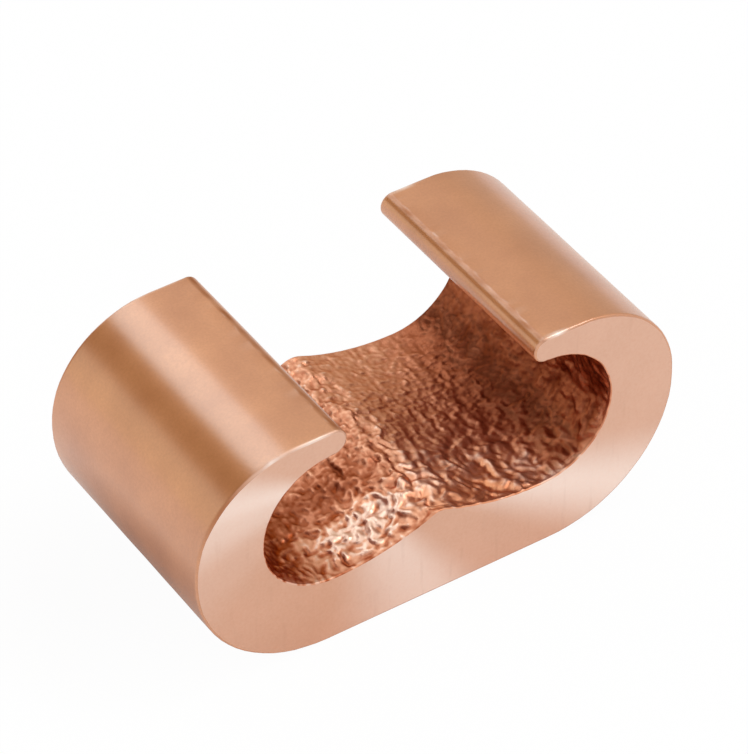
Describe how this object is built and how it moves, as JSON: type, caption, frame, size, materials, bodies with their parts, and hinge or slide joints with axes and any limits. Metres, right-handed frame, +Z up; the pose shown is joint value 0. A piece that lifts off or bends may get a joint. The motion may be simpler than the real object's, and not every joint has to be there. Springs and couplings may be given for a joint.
{
  "type": "c-type compression connector",
  "caption": "Solid copper C-section connector with twin round grooves, a ridged floor and an open mouth, crimped shut to join parallel stranded conductors.",
  "frame": {"origin": "centre of the flat base, on the surface it rests on", "axes": "+X across the two grooves, +Y along the conductors, +Z up from the base to the mouth"},
  "size_m": [0.0384, 0.0186, 0.0185],
  "materials": {
    "copper": "satin bare copper, rough inside the channel"
  },
  "bodies": {
    "root": {"connector_body": "copper"}
  },
  "joints": []
}
